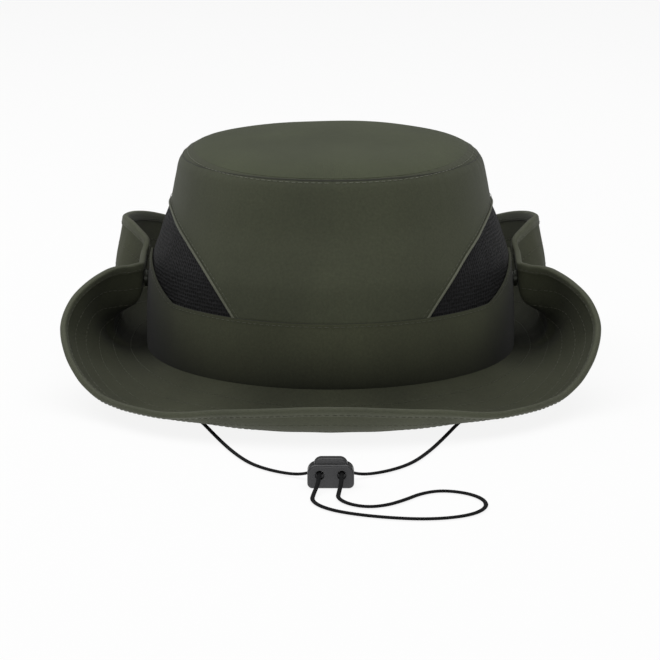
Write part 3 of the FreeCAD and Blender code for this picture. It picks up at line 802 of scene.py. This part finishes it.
class Brim:
    """The brim's left half as a smooth surface that can be read at any azimuth step and distance."""

    def __init__(self):
        self.azimuths = np.concatenate([np.arange(0, 60, 0.75), np.arange(60, 125, 0.5),
                                        np.arange(125, 180.01, 0.7857142857)])
        self.azimuths[-1] = 180.0
        self.middle = brim_middle(self.azimuths)
        round_way = np.gradient(self.middle, axis=0)
        round_way[0] = (-1, 0, 0)
        round_way[-1] = (1, 0, 0)
        along = np.gradient(self.middle, axis=1)
        self.normals = unit(np.cross(round_way, along))
        self.normals[[0, -1], :, 0] = 0.0
        self.normals = unit(self.normals)
        wrinkle = 0.35 * lumps(self.middle, 33.0, 4.4) + 0.18 * lumps(self.middle, 12.0, 9.2)
        fade = np.clip(np.arange(self.middle.shape[1]) / 20.0, 0, 1)[None, :]
        self.middle = self.middle + self.normals * (wrinkle * fade)[..., None] * self.centre_fade()

    def centre_fade(self):
        """Nothing moves at the middle planes, so that the halves meet."""
        near = np.minimum(self.azimuths, 180 - self.azimuths)
        return np.clip(near / 6.0, 0, 1)[:, None, None]

    def at(self, distance, offset):
        """Line of points round the brim at a distance from the seam, with its normals."""
        step = distance / BRIM_WIDTH * STEPS
        i = int(min(step, self.middle.shape[1] - 2))
        share = step - i
        points = self.middle[:, i] * (1 - share) + self.middle[:, i + 1] * share
        normals = unit(self.normals[:, i] * (1 - share) + self.normals[:, i + 1] * share)
        return points + normals * offset, normals


def on_side(points, side):
    """Left-half points, mirrored for the right side."""
    return points * np.array([side, 1.0, 1.0])


def bend_with_side(piece):
    """Moves the piece's transform into its mesh points."""
    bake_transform(piece)


def add_brim(brim, side):
    name = "left" if side > 0 else "right"
    distances = np.linspace(0.0, BRIM_WIDTH + 0.2, 100)
    top = np.array([brim.at(d, BRIM_HALF_THICK)[0] for d in distances])
    under = np.array([brim.at(d, -BRIM_HALF_THICK)[0] for d in distances])
    cloth_piece = thick_sheet("brim_" + name, on_side(top, side), on_side(under, side), LOOK["brim"])
    bend_with_side(cloth_piece)
    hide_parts(*[name + "_side_" + ply for ply in ("top_ply", "interlining", "under_ply")])
    if side > 0:
        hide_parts("brim_top_ply", "brim_interlining", "brim_under_ply")

    section = [(-EDGE_REACH, 0.96), (-EDGE_REACH + 0.15, 1.32), (-EDGE_REACH / 2, 1.42), (-0.2, 1.45),
               (0.35, 1.15), (0.62, 0.6), (0.7, 0.0), (0.62, -0.6), (0.35, -1.15), (-0.2, -1.45),
               (-EDGE_REACH / 2, -1.42), (-EDGE_REACH + 0.15, -1.32), (-EDGE_REACH, -0.96)]
    loop = np.array([on_side(brim.at(BRIM_WIDTH + s, high)[0], side) for s, high in section])
    core = np.array([on_side(brim.at(BRIM_WIDTH + s * 0.98 - 0.05, high * 0.98)[0], side)
                     for s, high in section])
    # The edge tape's lighter colour is a painted highlight along the brim's edge.
    tape = thick_sheet("edge_tape_" + name, loop, core, LOOK["binding"])
    bend_with_side(tape)
    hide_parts(name + "_side_binding")
    if side > 0:
        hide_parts("binding_front", "binding_back")

    rows = []
    for distance in BRIM_STITCH_ROWS:
        for offset in (BRIM_HALF_THICK, -BRIM_HALF_THICK):
            points, normals = brim.at(distance, offset)
            rows.append((on_side(points, side), on_side(normals, side) * math.copysign(1.0, offset)))
    for offset in (EDGE_HALF_THICK, -EDGE_HALF_THICK):
        points, normals = brim.at(BRIM_WIDTH - EDGE_REACH + 1.0, offset)
        rows.append((on_side(points, side), on_side(normals, side) * math.copysign(1.0, offset)))
    sewn = stitches("brim_stitches_" + name, rows, LOOK["thread"], 0.24)
    bend_with_side(sewn)


# ------------------------------------------------------------------ carried-over CAD pieces

def dress_cad_nodes():
    looks = {"sweatband": "lining", "tip_seam_tape": "lining", "size_label": "label",
             "lock_body": "plastic", "lock_plunger": "plastic", "lock_spring": "steel",
             "cord_anchor_left": "cord", "cord_anchor_right": "cord"}
    for side in ("left", "right"):
        for part in ("stud", "post", "socket", "cap"):
            looks["snap_%s_%s" % (part, side)] = "snap"
    for name, look in looks.items():
        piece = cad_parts[name]
        piece.data.materials.clear()
        piece.data.materials.append(LOOK[look])


add_camera()
add_studio()
add_cord()
add_panel("front_cloth", 0.0, "front_panel")
add_panel("back_cloth", math.pi, "back_panel")
add_wall_foot()
add_tip()
add_band()
add_crown_stitches()
left_brim = Brim()
for way in (1, -1):
    add_vent(way)
    add_piping(way)
    add_brim(left_brim, way)
dress_cad_nodes()
